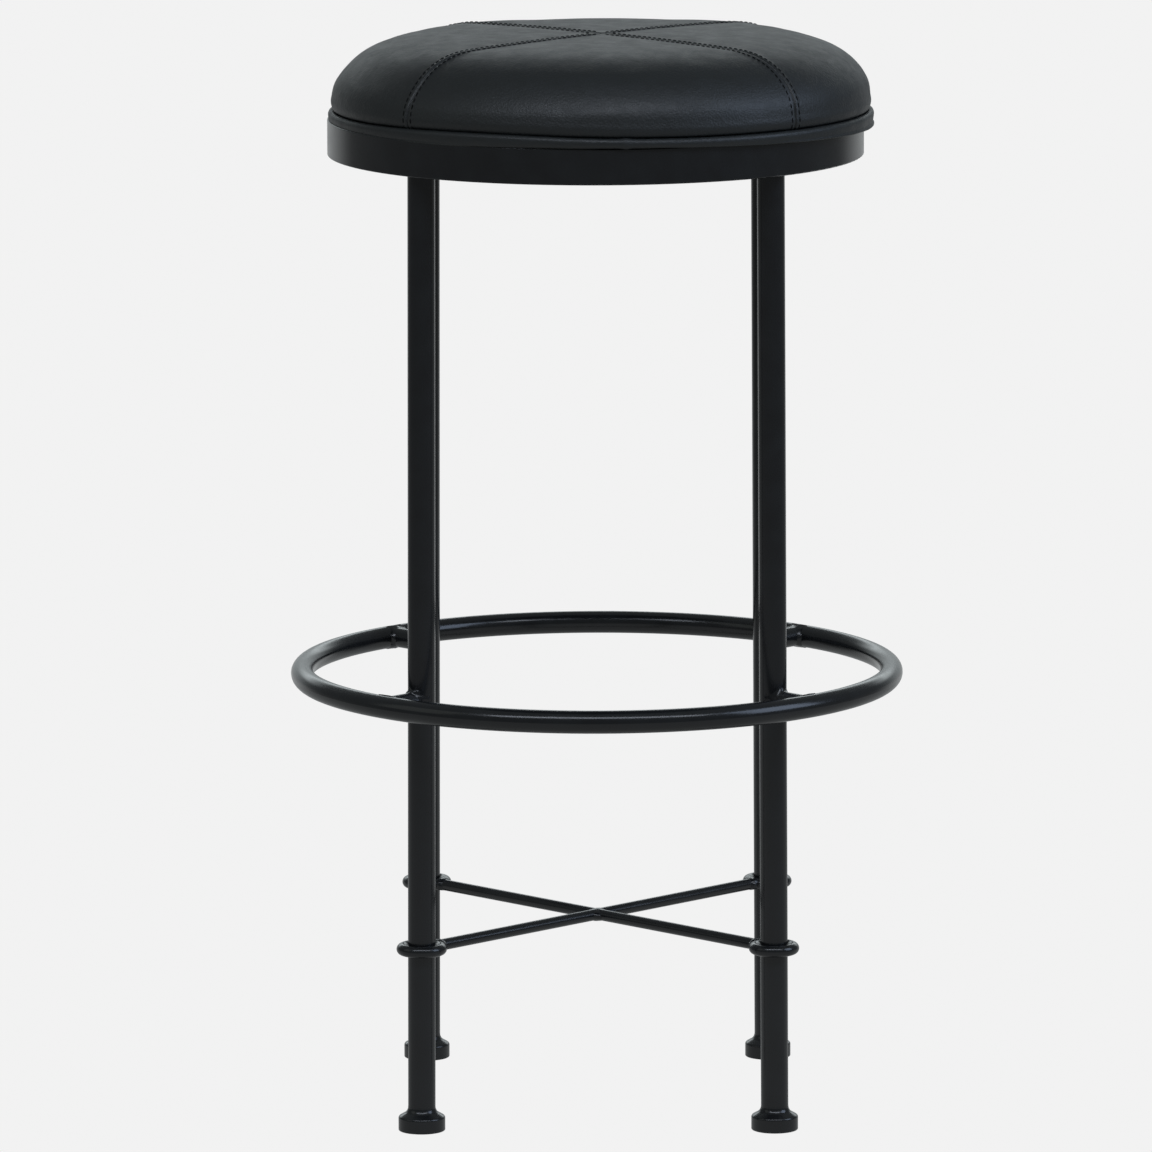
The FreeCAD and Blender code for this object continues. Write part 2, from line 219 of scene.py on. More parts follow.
def birchPly():
    # Birch plywood seat board, sanded, with 1.4 mm veneers.
    # Gives a pale warm face grain, 11 mm wide and 170 mm long, and dark and light lines
    # round its edge.
    material, tree = newMaterial("birch_plywood_sanded")
    place = addNode(tree, "ShaderNodeTexCoord")
    stretched = addNode(tree, "ShaderNodeMapping", {"Scale": (6, 90, 90)},
                        {"Vector": place.outputs["Object"]})
    figure = addNode(tree, "ShaderNodeTexNoise", {"Scale": 1, "Detail": 5, "Distortion": 0.6},
                     {"Vector": stretched.outputs["Vector"]})
    layers = addNode(tree, "ShaderNodeTexWave",
                     {"bands_direction": "Z", "Scale": 0.314 / (2 * 1.4 * mm), "Distortion": 0.4},
                     {"Vector": place.outputs["Object"]})
    mixed = addNode(tree, "ShaderNodeMath", {"operation": "MULTIPLY_ADD", 1: 0.6},
                    {0: layers.outputs["Fac"], 2: figure.outputs["Fac"]})
    colour = addNode(tree, "ShaderNodeMix",
                     {"data_type": "RGBA", 6: hexToLinear("#d9c096"), 7: hexToLinear("#a67f4f")},
                     {0: mixed.outputs[0]})
    bump = addNode(tree, "ShaderNodeBump", {"Strength": 0.3, "Distance": 0.1 * mm},
                   {"Height": figure.outputs["Fac"]})
    shader = addNode(tree, "ShaderNodeBsdfPrincipled", {"IOR": 1.5, "Roughness": 0.7},
                     {"Base Color": colour.outputs[2], "Normal": bump.outputs["Normal"]})
    addNode(tree, "ShaderNodeOutputMaterial", {}, {"Surface": shader.outputs["BSDF"]})
    return material


def seatFoam():
    # Polyether seat foam, cut from a block, 1 mm cells.
    # Gives an off-white, fully matt, open-pored surface.
    material, tree = newMaterial("polyether_foam_cream")
    place = addNode(tree, "ShaderNodeTexCoord")
    cells = addNode(tree, "ShaderNodeTexVoronoi", {"feature": "F1", "Scale": 1000},
                    {"Vector": place.outputs["Object"]})
    colour = addNode(tree, "ShaderNodeMix",
                     {"data_type": "RGBA", 6: hexToLinear("#b9ae8c"), 7: hexToLinear("#e4dcc0")},
                     {0: cells.outputs["Distance"]})
    bump = addNode(tree, "ShaderNodeBump", {"Strength": 0.8, "Distance": 0.4 * mm},
                   {"Height": cells.outputs["Distance"]})
    shader = addNode(tree, "ShaderNodeBsdfPrincipled", {"IOR": 1.45, "Roughness": 0.95},
                     {"Base Color": colour.outputs[2], "Normal": bump.outputs["Normal"]})
    addNode(tree, "ShaderNodeOutputMaterial", {}, {"Surface": shader.outputs["BSDF"]})
    return material


def zincPlate():
    # Bright zinc-plated steel, blue passivated, for the screws, washers, nuts and staples.
    # Gives a cool silver with a slightly cloudy shine, in clouds 2.5 mm across.
    material, tree = newMaterial("zinc_plated_steel")
    place = addNode(tree, "ShaderNodeTexCoord")
    cloud = addNode(tree, "ShaderNodeTexNoise", {"Scale": 400, "Detail": 3},
                    {"Vector": place.outputs["Object"]})
    colour = addNode(tree, "ShaderNodeMix",
                     {"data_type": "RGBA", 6: hexToLinear("#b4b9bf"), 7: hexToLinear("#cfd2d3")},
                     {0: cloud.outputs["Fac"]})
    gloss = addNode(tree, "ShaderNodeMapRange", {"To Min": 0.22, "To Max": 0.42},
                    {"Value": cloud.outputs["Fac"]})
    shader = addNode(tree, "ShaderNodeBsdfPrincipled", {"Metallic": 1.0},
                     {"Base Color": colour.outputs[2], "Roughness": gloss.outputs["Result"]})
    addNode(tree, "ShaderNodeOutputMaterial", {}, {"Surface": shader.outputs["BSDF"]})
    return material


def glideNylon():
    # Injection-moulded nylon, black, lightly eroded mould texture.
    # Gives a matt dark plastic, 0.7 mm texture, with 4 mm grey scuffs where it slides.
    material, tree = newMaterial("moulded_nylon_black")
    place = addNode(tree, "ShaderNodeTexCoord")
    spark = addNode(tree, "ShaderNodeTexNoise", {"Scale": 1500, "Detail": 2},
                    {"Vector": place.outputs["Object"]})
    scuff = addNode(tree, "ShaderNodeTexNoise", {"Scale": 260, "Detail": 5, "Distortion": 1.5},
                    {"Vector": place.outputs["Object"]})
    worn = addNode(tree, "ShaderNodeMapRange", {"From Min": 0.5, "From Max": 0.75},
                   {"Value": scuff.outputs["Fac"]})
    colour = addNode(tree, "ShaderNodeMix",
                     {"data_type": "RGBA", 6: hexToLinear("#161616"), 7: hexToLinear("#3a3a39")},
                     {0: worn.outputs["Result"]})
    bump = addNode(tree, "ShaderNodeBump", {"Strength": 0.4, "Distance": 0.05 * mm},
                   {"Height": spark.outputs["Fac"]})
    shader = addNode(tree, "ShaderNodeBsdfPrincipled", {"IOR": 1.53, "Roughness": 0.55},
                     {"Base Color": colour.outputs[2], "Normal": bump.outputs["Normal"]})
    addNode(tree, "ShaderNodeOutputMaterial", {}, {"Surface": shader.outputs["BSDF"]})
    return material


def pipingCord():
    # Twisted paper piping cord inside the welt.
    # Gives a pale tan cord, mottled every 1.4 mm by its strands.
    material, tree = newMaterial("twisted_paper_cord")
    place = addNode(tree, "ShaderNodeTexCoord")
    strands = addNode(tree, "ShaderNodeTexNoise", {"Scale": 700, "Detail": 3},
                      {"Vector": place.outputs["Object"]})
    colour = addNode(tree, "ShaderNodeMix",
                     {"data_type": "RGBA", 6: hexToLinear("#a98f66"), 7: hexToLinear("#d3c09a")},
                     {0: strands.outputs["Fac"]})
    bump = addNode(tree, "ShaderNodeBump", {"Strength": 0.7, "Distance": 0.3 * mm},
                   {"Height": strands.outputs["Fac"]})
    shader = addNode(tree, "ShaderNodeBsdfPrincipled", {"IOR": 1.5, "Roughness": 0.9},
                     {"Base Color": colour.outputs[2], "Normal": bump.outputs["Normal"]})
    addNode(tree, "ShaderNodeOutputMaterial", {}, {"Surface": shader.outputs["BSDF"]})
    return material


coat = powderCoat()
leather = coverLeather()
thread = sewingThread()
cloth = dustCloth()
plywood = birchPly()
foam = seatFoam()
zinc = zincPlate()
nylon = glideNylon()
cord = pipingCord()

# CAD nodes whose shape is right keep it, and take a finish by the start of their name
finishes = {
    "seat_hoop": coat, "seat_tab": coat, "footrest": coat, "leg_": coat, "foot_": coat,
    "stretcher": coat, "glide_": nylon, "seat_screws": zinc, "seat_washers": zinc, "t_nuts": zinc,
    "cover_staples": zinc, "seat_board": plywood, "seat_foam": foam, "dust_cover": cloth,
    "cover_panel": leather, "welt_cover": leather, "welt_cord": cord,
}
for nodeName, node in nodes.items():
    chosen = [finish for start, finish in finishes.items() if nodeName.startswith(start)]
    node.data.materials.clear()
    node.data.materials.append(chosen[0])
print("materials made:", len(bpy.data.materials))


boardLow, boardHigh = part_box("seat_board")
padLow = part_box("cover_panel_left")[0]
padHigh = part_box("cover_panel_right")[1]
padCentre = Vector(((padLow.x + padHigh.x) / 2, 0, 0))
cushion = {
    "radius": (padHigh.x - padLow.x) / 2,        # at its widest, just above the welt
    "top": padHigh.z,
    "crown": 2 * mm,                             # the middle's rise over the flat top
    "shoulderWidth": 60 * mm,
    "widest": boardHigh.z,
    "lowerSide": 25 * mm,                        # the side's gentle turn below its widest
    "lowerSideTurn": 13.5,                       # degrees
    "lowerRound": 2 * mm,                        # the tight turn in above the welt
    "tuckRadius": boardHigh.x - padCentre.x + 1.4 * mm,
    "bottom": boardLow.z - 1.2 * mm,             # one leather under the board
    "hemRadius": 166 * mm,
    "firstColumn": math.radians(0.12),           # a column of faces at a seam; they widen from it
    "columnGrowth": 1.35,
    "widestColumn": math.radians(2.2),
    "seamWidth": 0.55 * mm,
    "seamDepth": 1.7 * mm,
    "allowance": 5.5 * mm,                       # the raised band either side of a seam
    "allowanceRise": 0.45 * mm,
    "stitchOffset": 3.5 * mm,
    "stitchPitch": 4.9 * mm,
    "stitchHalf": 0.36,                          # half a stitch's length, in pitches
    "stitchBelow": 8 * mm,                       # rows end this far under the widest line
    "stitchDip": 0.3 * mm,
    "threadRadius": 0.4 * mm,
    "threadProud": 0.4,                          # in thread radii
    "swellFrom": 0.8 * mm,                       # the swelling starts this far inside
    "swellVoxel": 5 * mm,
    "swellPressure": 4,
    "swellFrames": 20,
    "swellCap": 2.2 * mm,                        # and no point moves further than this
    "topSag": 1.75 * mm,                         # the top draws in between the seams
    "sagFromSeam": (5 * mm, 55 * mm),
    "sagToShoulder": (140 * mm, 178 * mm),
    "sagInFront": 0.3,                           # the front's share of it
    "sagBehind": (0.7, 0.95),                    # where it grows to the whole, towards +Y
    "lean": 1.6 * mm,                            # the pad's shoulder sits a little to the right
    "leanHeight": 26 * mm,
    "fullness": 1.1 * mm,                        # extra width low on the side
    "fullnessFade": (9 * mm, 26 * mm),
    "rise": 2.5 * mm,                            # the lower edge is pulled up, left of the front
    "riseAt": math.radians(-27),
    "riseSpread": math.radians(27),
    "riseFade": 14 * mm,
    "leatherThickness": 1.2 * mm,
    "foamInset": 4.8 * mm,
}


def sideProfile(bm, inset=0.0):
    # the pad's outline from the crown's centre to the hem: arcs spun from one point, then the hem
    s = cushion
    radius, top = s["radius"] - inset, s["top"] - inset
    shoulder = s["shoulderWidth"] - inset
    rise = top - s["crown"] - s["widest"]
    flatRadius = radius - shoulder
    bowl = (flatRadius ** 2 + s["crown"] ** 2) / (2 * s["crown"])
    acrossTop = math.asin(flatRadius / bowl)

    point = bm.verts.new((0, 0, top))
    crown = bmesh.ops.spin(bm, geom=[point], axis=(0, 1, 0), cent=(0, 0, top - bowl),
                           angle=acrossTop, steps=34)
    tip = crown["geom_last"][0]
    before = set(bm.verts)
    round_ = bmesh.ops.spin(bm, geom=[tip], axis=(0, 1, 0),
                            cent=(flatRadius, 0, tip.co.z - shoulder), angle=math.pi / 2, steps=44)
    # the shoulder is an ellipse: its quarter circle is flattened to the pad's own rise
    level = tip.co.z
    for v in set(bm.verts) - before:
        v.co.z = level - (level - v.co.z) * rise / shoulder
    tip = round_["geom_last"][0]
    wide, tight = s["lowerSide"], s["lowerRound"]
    turn = math.radians(s["lowerSideTurn"])
    side = bmesh.ops.spin(bm, geom=[tip], axis=(0, 1, 0), cent=(tip.co.x - wide, 0, tip.co.z),
                          angle=turn, steps=5)
    tip = side["geom_last"][0]
    centre = tip.co - tight * Vector((math.cos(turn), 0, -math.sin(turn)))
    under = bmesh.ops.spin(bm, geom=[tip], axis=(0, 1, 0), cent=centre, angle=math.radians(88),
                           steps=6)
    tip = under["geom_last"][0]
    for corner in ((s["tuckRadius"] - inset, 0, tip.co.z - 0.6 * mm),
                   (s["tuckRadius"] - inset, 0, s["bottom"] + 1.0 * mm + inset),
                   (s["tuckRadius"] - 1.0 * mm - inset, 0, s["bottom"] + inset),
                   (s["hemRadius"], 0, s["bottom"] + inset)):
        grown = bmesh.ops.extrude_vert_indiv(bm, verts=[tip])
        tip = grown["verts"][0]
        tip.co = corner
    return list(bm.verts) + list(bm.edges)


def spinPad(bm, outline, turns):
    # one spin step per column of faces, so that columns can crowd together beside a seam
    for turn in turns:
        swept = bmesh.ops.spin(bm, geom=outline, axis=(0, 0, 1), cent=(0, 0, 0), angle=turn,
                               steps=1)
        outline = swept["geom_last"]
    bmesh.ops.remove_doubles(bm, verts=bm.verts, dist=0.002 * mm)
    bmesh.ops.recalc_face_normals(bm, faces=bm.faces)


def seamColumns():
    # column widths over one eighth of the pad, from a seam to the middle of a panel
    s = cushion
    eighth = math.radians(45)
    widths, width, total = [], s["firstColumn"], 0
    while total + width < eighth:
        widths.append(width)
        total += width
        width = min(width * s["columnGrowth"], s["widestColumn"])
    widths.append(eighth - total)
    return widths


def seamDistance(co):
    # how far a point is from the nearer of the two seam lines, which cross on the diagonals
    flat = Vector((co.x, co.y))
    return min(abs(flat.x - flat.y), abs(flat.x + flat.y)) / math.sqrt(2)


def weltRise(outward):
    # the cover is pulled up a little higher left of the front
    round_ = math.atan2(outward.x, -outward.y) - cushion["riseAt"]
    return cushion["rise"] * math.exp(-(round_ / cushion["riseSpread"]) ** 2)


def swellPad():
    # foam pushing out its cover: pressure cloth on an even remesh, held along seams and hem
    s = cushion
    bm = bmesh.new()
    outline = sideProfile(bm, inset=s["swellFrom"])
    bmesh.ops.spin(bm, geom=outline, axis=(0, 0, 1), cent=(0, 0, 0), angle=2 * math.pi, steps=120,
                   use_merge=True)
    bmesh.ops.remove_doubles(bm, verts=bm.verts, dist=0.01 * mm)
    bmesh.ops.holes_fill(bm, edges=[e for e in bm.edges if e.is_boundary], sides=0)
    bmesh.ops.recalc_face_normals(bm, faces=bm.faces)
    mesh = bpy.data.meshes.new("swelling")
    bm.to_mesh(mesh)
    bm.free()
    pad = bpy.data.objects.new("swelling", mesh)
    bpy.context.scene.collection.objects.link(pad)
    remesh = pad.modifiers.new("even", "REMESH")
    remesh.mode = "VOXEL"
    remesh.voxel_size = s["swellVoxel"]
    bakeModifiers(pad)
    rest = [v.co.copy() for v in pad.data.vertices]

    held = pad.vertex_groups.new(name="held")
    for i, co in enumerate(rest):
        onSeam = 1 - smoothStep(2 * mm, 6 * mm, seamDistance(co))
        nearHem = 1 - smoothStep(s["widest"] - 8 * mm, s["widest"] - 2 * mm, co.z)
        held.add([i], max(onSeam, nearHem), "REPLACE")
    clothPad = pad.modifiers.new("swell", "CLOTH")
    clothPad.settings.use_pressure = True
    clothPad.settings.uniform_pressure_force = s["swellPressure"]
    clothPad.settings.effector_weights.gravity = 0
    clothPad.settings.quality = 5
    clothPad.settings.vertex_group_mass = "held"
    clothPad.settings.pin_stiffness = 1
    clothPad.point_cache.frame_end = s["swellFrames"]
    for frameNumber in range(1, s["swellFrames"] + 1):
        bpy.context.scene.frame_set(frameNumber)
    bakeModifiers(pad)
    bpy.context.scene.frame_set(1)
    for v, start in zip(pad.data.vertices, rest):
        move = v.co - start
        if move.length > s["swellCap"]:
            v.co = start + move.normalized() * s["swellCap"]
    finer = pad.modifiers.new("finer", "SUBSURF")
    finer.levels = finer.render_levels = 1
    even = pad.modifiers.new("settle", "SMOOTH")
    even.factor = 0.5
    even.iterations = 12
    bakeModifiers(pad)
    return pad


def makeCushion():
    # the whole cover as one skin: spun, swelled, then drawn in along its seams
    s = cushion
    bm = bmesh.new()
    outline = sideProfile(bm)
    eighth = seamColumns()
    # start on a seam, so the outline turns to 45 degrees first
    bmesh.ops.rotate(bm, verts=bm.verts, cent=(0, 0, 0),
                     matrix=Matrix.Rotation(math.radians(45), 3, "Z"))
    spinPad(bm, outline, (eighth + eighth[::-1]) * 4)
    print("cushion columns:", len(eighth) * 8)

    swollen = swellPad()
    tree = BVHTree.FromObject(swollen, bpy.context.evaluated_depsgraph_get())
    bm.normal_update()
    for v in bm.verts:
        freed = smoothStep(s["widest"] - 6 * mm, s["widest"] + 4 * mm, v.co.z)
        hit = tree.ray_cast(v.co + v.normal * 8 * mm, -v.normal, 16 * mm)[0]
        if hit and freed > 0:
            v.co = v.co.lerp(hit, freed)
    bpy.data.objects.remove(swollen)

    bm.normal_update()
    moves = {}
    for v in bm.verts:
        gap = seamDistance(v.co)
        sewn = smoothStep(s["bottom"] + 4 * mm, s["bottom"] + 7 * mm, v.co.z)
        groove = -s["seamDepth"] * math.exp(-gap / s["seamWidth"])
        band = s["allowanceRise"] * (1 - smoothStep(s["allowance"] * 0.5, s["allowance"], gap))
        row = -s["stitchDip"] * math.exp(-((gap - s["stitchOffset"]) / s["threadRadius"] / 2) ** 2)
        fromMiddle = v.co.xy.length
        sag = -s["topSag"] * smoothStep(*s["sagFromSeam"], gap)
        sag *= 1 - smoothStep(*s["sagToShoulder"], fromMiddle)
        behind = smoothStep(*s["sagBehind"], v.co.y / max(fromMiddle, mm))
        sag *= s["sagInFront"] + (1 - s["sagInFront"]) * behind
        moves[v] = (groove + band + row + sag) * sewn
    for v, move in moves.items():
        v.co += v.normal * move
    for v in bm.verts:
        level = v.co.z - s["widest"]
        outward = Vector((v.co.x, v.co.y, 0)).normalized()
        full = smoothStep(-7 * mm, 0, level) * (1 - smoothStep(*s["fullnessFade"], level))
        v.co += outward * s["fullness"] * full
        v.co.x += s["lean"] * smoothStep(0, s["leanHeight"], level)
        lift = weltRise(outward) * (1 - smoothStep(0, s["riseFade"], level))
        v.co.z += lift * smoothStep(-10 * mm, -6 * mm, level)
    bmesh.ops.translate(bm, verts=bm.verts, vec=padCentre)
    return bm


bm = makeCushion()
surface = BVHTree.FromBMesh(bm)
seatCushion = finishPiece(bm, "seat_cushion", leather)
skin = seatCushion.modifiers.new("leather thickness", "SOLIDIFY")
skin.thickness = cushion["leatherThickness"]
skin.offset = -1
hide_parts("cover_panel_front", "cover_panel_back", "cover_panel_left",
            "cover_panel_right")


def makeFoam():
    # the foam dome on the seat board, a little smaller than the cover all round
    bm = bmesh.new()
    outline = sideProfile(bm, inset=cushion["foamInset"])
    bmesh.ops.spin(bm, geom=outline, axis=(0, 0, 1), cent=(0, 0, 0), angle=2 * math.pi, steps=96,
                   use_merge=True)
    bmesh.ops.remove_doubles(bm, verts=bm.verts, dist=0.01 * mm)
    bmesh.ops.bisect_plane(bm, geom=list(bm.verts) + list(bm.edges) + list(bm.faces),
                           dist=0.001 * mm, plane_co=(0, 0, boardHigh.z), plane_no=(0, 0, 1),
                           clear_inner=True)
    bmesh.ops.holes_fill(bm, edges=[e for e in bm.edges if e.is_boundary], sides=0)
    bmesh.ops.recalc_face_normals(bm, faces=bm.faces)
    bmesh.ops.translate(bm, verts=bm.verts, vec=padCentre)
    return bm


seatFilling = finishPiece(makeFoam(), "seat_filling", foam, math.radians(40))
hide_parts("seat_foam")
print("cushion made:", len(seatCushion.data.polygons), "faces")


def makeStitching():
    # two topstitched rows beside each seam, from the crown to the welt
    s = cushion
    bm = bmesh.new()
    outline = bmesh.new()
    sideProfile(outline)
    path = [v.co.copy() for v in outline.verts if v.co.z > s["widest"] - s["stitchBelow"]]
    outline.free()
    path.sort(key=lambda co: (-co.z, co.x))
    lengths = [0]
    for a, b in zip(path, path[1:]):
        lengths.append(lengths[-1] + (b - a).length)
    count = int(lengths[-1] / s["stitchPitch"])
    for arm in range(4):
        turn = Matrix.Rotation(math.radians(45 + 90 * arm), 3, "Z")
        for side in (-1, 1):
            for i in range(2, count):
                along = i * s["stitchPitch"]
                k = max(j for j, length in enumerate(lengths) if length <= along)
                k = min(k, len(path) - 2)
                co = path[k].lerp(path[k + 1], (along - lengths[k]) / (lengths[k + 1] - lengths[k]))
                ahead = (path[k + 1] - path[k]).normalized()
                outward = Vector((-ahead.z, 0, ahead.x))
                start = turn @ Vector((co.x, side * s["stitchOffset"], co.z)) + padCentre
                outward = turn @ outward
                ahead = turn @ ahead
                hit, normal, _, _ = surface.ray_cast(start + outward * 6 * mm, -outward, 12 * mm)
                if not hit:
                    continue
                across = ahead.cross(normal).normalized()
                ahead = normal.cross(across)
                basis = Matrix((ahead, across, normal)).transposed()
                stitch = bmesh.ops.create_uvsphere(bm, u_segments=8, v_segments=6, radius=1)
                thick, half = s["threadRadius"], s["stitchPitch"] * s["stitchHalf"]
                shape = Matrix.Diagonal((thick, thick, half))
                lay = Matrix(((0, 0, 1), (0, 1, 0), (-1, 0, 0)))
                laid = hit + normal * s["threadRadius"] * s["threadProud"]
                place = Matrix.Translation(laid) @ (basis @ lay @ shape).to_4x4()
                bmesh.ops.transform(bm, matrix=place, verts=stitch["verts"])
    bmesh.ops.recalc_face_normals(bm, faces=bm.faces)
    return bm


seamStitching = finishPiece(makeStitching(), "seam_stitching", thread)
print("stitching made:", len(seamStitching.data.polygons), "faces")


weltLow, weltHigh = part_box("welt_cord")
welt = {
    "centreRadius": (weltHigh.x - weltLow.x) / 2 - 1.9 * mm,
    "height": (weltHigh.z + weltLow.z) / 2,
    "thickness": 6.2 * mm,
    "columns": 600,
    "droopRight": 4.6 * mm,          # how far the lip hangs at each end of the seat
    "droopLeft": 3.1 * mm,
    "lipDown": (0.15, 0.95),         # where the lip begins, in half thicknesses down
    "lipAcross": (-0.75, 0.1),       # and from its inner side out
    "lipOut": 2.0 * mm,              # how far the lip's lowest edge turns out
    "lipEdge": (0.7, 0.88),
    "upperHalf": (-0.3, 0.8),        # the part that rises with the cover
    "ripple": 0.35 * mm,
    "joinAt": math.radians(5),       # where its two ends meet, right of the front
    "joinWidth": math.radians(0.9),
    "joinRise": 0.55 * mm,
}


def makeWelt():
    # a roll round its cord, whose lower edge is drawn down into a lip where it hangs over the hoop
    s = welt
    bm = bmesh.new()
    ring = bmesh.ops.create_circle(bm, segments=32, radius=s["thickness"] / 2)
    bmesh.ops.rotate(bm, verts=ring["verts"], cent=(0, 0, 0),
                     matrix=Matrix.Rotation(math.pi / 2, 3, "X"))
    bmesh.ops.translate(bm, verts=ring["verts"], vec=(s["centreRadius"], 0, s["height"]))
    bmesh.ops.spin(bm, geom=list(bm.verts) + list(bm.edges), axis=(0, 0, 1), cent=(0, 0, 0),
                   angle=2 * math.pi, steps=s["columns"], use_merge=True)
    bmesh.ops.remove_doubles(bm, verts=bm.verts, dist=0.01 * mm)
    bmesh.ops.recalc_face_normals(bm, faces=bm.faces)
    for v in bm.verts:
        flat = Vector((v.co.x, v.co.y, 0))
        outward = flat.normalized()
        across = (flat.length - s["centreRadius"]) / (s["thickness"] / 2)
        down = (s["height"] - v.co.z) / (s["thickness"] / 2)
        droop = s["droopRight"] * max(0, outward.x) ** 2 + s["droopLeft"] * max(0, -outward.x) ** 2
        lip = smoothStep(*s["lipDown"], down) * smoothStep(*s["lipAcross"], across)
        wave = noise.noise(outward * 7) * s["ripple"]
        fromJoin = math.atan2(outward.x, -outward.y) - s["joinAt"]
        join = math.exp(-(fromJoin / s["joinWidth"]) ** 2)
        v.co.z += wave * (0.3 + 0.7 * smoothStep(-0.2, 0.8, down)) - droop * lip
        flare = s["lipOut"] * lip * smoothStep(*s["lipEdge"], down) * outward.x ** 2
        v.co += outward * (wave * 0.6 + flare + join * s["joinRise"])
        v.co.z -= join * s["joinRise"] * down
        v.co.z += weltRise(outward) * (1 - smoothStep(*s["upperHalf"], down))
    bmesh.ops.translate(bm, verts=bm.verts, vec=padCentre)
    return bm


weltRoll = finishPiece(makeWelt(), "seat_welt", leather)
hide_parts("welt_cover")
print("welt made:", len(weltRoll.data.polygons), "faces")


weld = {
    "legRadius": 9.525 * mm,
    "stubRadius": 7 * mm,
    "ringRadius": 7.95 * mm,
    "rodRadius": 4 * mm,
    "toe": 3.6 * mm,            # how far a fillet runs out along each of the two tubes
    "lump": 0.8 * mm,           # how uneven a bead is
    "filletSegments": 40,
    "filletSteps": 7,
    "rodSink": 0.4 * mm,        # how far a fillet's edges sink into the two tubes
    "tubeSink": 0.5 * mm,
    "flankGap": 0.4 * mm,       # past the tube's flank it stands this far off its side
    "collarBlob": (5.0 * mm, 6.4 * mm, 4.5 * mm),
    "collarLump": 0.6 * mm,
    "crossBlob": (9 * mm, 9 * mm, 4.3 * mm),
    "crossLump": 0.35 * mm,
    "hoopReach": 7.6 * mm,      # a hoop bead's place, out from the leg's axis
    "hoopAside": 6.6 * mm,      # and to its side
    "beadRadius": 2.3 * mm,
    "ripple": 2.4 * mm,         # spacing of the ripples along a straight bead
}


def legAxis(corner, z):
    # a leg leans: its outermost line is at the foot and its innermost line at the hoop
    low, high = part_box("leg_" + corner)
    outer = max(abs(low.x), abs(high.x)) - weld["legRadius"]
    inner = min(abs(low.x), abs(high.x)) + weld["legRadius"]
    offset = outer + (inner - outer) * (z - low.z) / (high.z - low.z)
    return Vector((math.copysign(offset, low.x), math.copysign(offset, low.y), z))


def weldFillet(bm, place, rodRadius, tubeRadius, toe, lump, seed):
    # the bead where a rod along +X runs into a tube along Z, in rings from the tube's skin
    # out to the rod's
    s = weld
    ring = bmesh.ops.create_circle(bm, segments=s["filletSegments"], radius=rodRadius)["verts"]
    bmesh.ops.rotate(bm, verts=ring, cent=(0, 0, 0), matrix=Matrix.Rotation(math.pi / 2, 3, "Y"))
    directions = [Vector((0, v.co.y, v.co.z)).normalized() for v in ring]
    first = loop = ring
    steps = s["filletSteps"]
    flank = tubeRadius + s["flankGap"]
    made = list(ring)
    for step in range(steps + 2):
        t = step / steps
        if step:
            near = dict.fromkeys(e for v in loop for e in v.link_edges)
            edges = [e for e in near if all(v in loop for v in e.verts)]
            grown = bmesh.ops.extrude_edge_only(bm, edges=edges)["geom"]
            fresh = [g for g in grown if isinstance(g, bmesh.types.BMVert)]
            # keep the new ring in the old one's order, by nearest start
            loop = [min(fresh, key=lambda f: (f.co - v.co).length) for v in loop]
            made += loop
        for v, away in zip(loop, directions):
            if step <= steps:
                rough = noise.noise(away * 2.3 + Vector((seed, t * 1.5, 0)))
                rough += 0.6 * noise.noise(away * 6 + Vector((0, seed, t * 2)))
                swell = lump * rough * math.sin(math.pi * min(1, t + 0.12))
                reach = rodRadius + toe * (1 + 0.3 * rough) * (1 - t) ** 1.5 + swell
                reach -= s["rodSink"] * t
                along = toe * (1 + 0.25 * rough) * t ** 1.5 + swell - s["tubeSink"] * (1 - t)
            else:
                # the last ring goes down inside both tubes
                reach, along = rodRadius - 1.4 * mm, -0.9 * mm
            # past the tube's flank the bead lies against its side
            aside = max(-flank, min(flank, reach * away.y))
            skin = math.sqrt(tubeRadius ** 2 - min(abs(aside), tubeRadius * 0.98) ** 2)
            v.co = Vector((skin + along, aside, reach * away.z))
    lastEdges = [e for v in loop for e in v.link_edges if all(w in loop for w in e.verts)]
    firstEdges = [e for v in first for e in v.link_edges if all(w in first for w in e.verts)]
    bmesh.ops.bridge_loops(bm, edges=list(dict.fromkeys(lastEdges + firstEdges)))
    bmesh.ops.transform(bm, matrix=place, verts=made)


def weldBlob(bm, place, size, lump, seed):
    # a filled joint: a rounded lump with an uneven skin
    made = bmesh.ops.create_icosphere(bm, subdivisions=4, radius=1)["verts"]
    for v in made:
        rough = noise.noise(v.co * 1.7 + Vector((seed, 0, 0)))
        rough += 0.5 * noise.noise(v.co * 4 + Vector((0, seed, 0)))
        smooth = Vector((v.co.x * size[0], v.co.y * size[1], v.co.z * size[2]))
        v.co = smooth + v.co * rough * lump
    bmesh.ops.transform(bm, matrix=place, verts=made)


